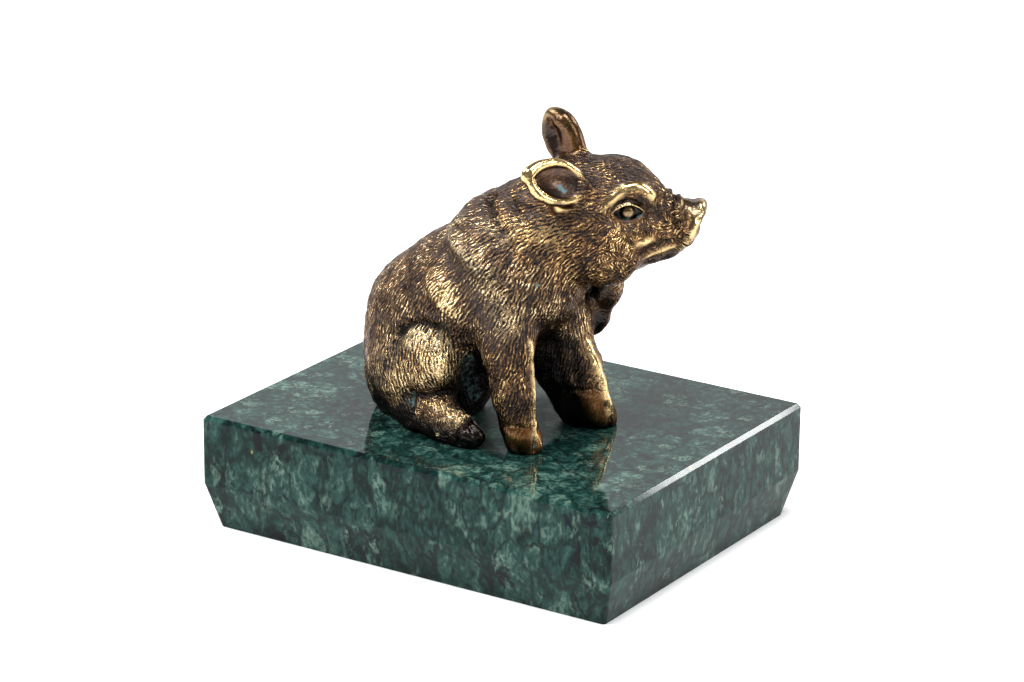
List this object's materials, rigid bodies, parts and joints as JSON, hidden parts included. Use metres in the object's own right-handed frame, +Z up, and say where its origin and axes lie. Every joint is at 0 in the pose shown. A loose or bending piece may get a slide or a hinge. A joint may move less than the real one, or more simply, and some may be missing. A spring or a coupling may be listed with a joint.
{
  "type": "piglet figurine on plinth",
  "caption": "Small cast bronze piglet sitting with its head turned aside and a hind foot raised to its cheek, on a bevelled green marble plinth, a desk or shelf ornament.",
  "frame": {"origin": "centre of the plinth's underside", "axes": "+X along the plinth's long side, the way the piglet's body faces; +Y to the piglet's left; +Z up"},
  "size_m": [0.08, 0.062, 0.0733],
  "materials": {
    "plinth": "polished green marble",
    "piglet": "cast bronze, dark brown patina with rubbed golden ridges and traces of verdigris"
  },
  "bodies": {
    "root": {"plinth": "plinth", "piglet": "piglet"}
  },
  "joints": []
}
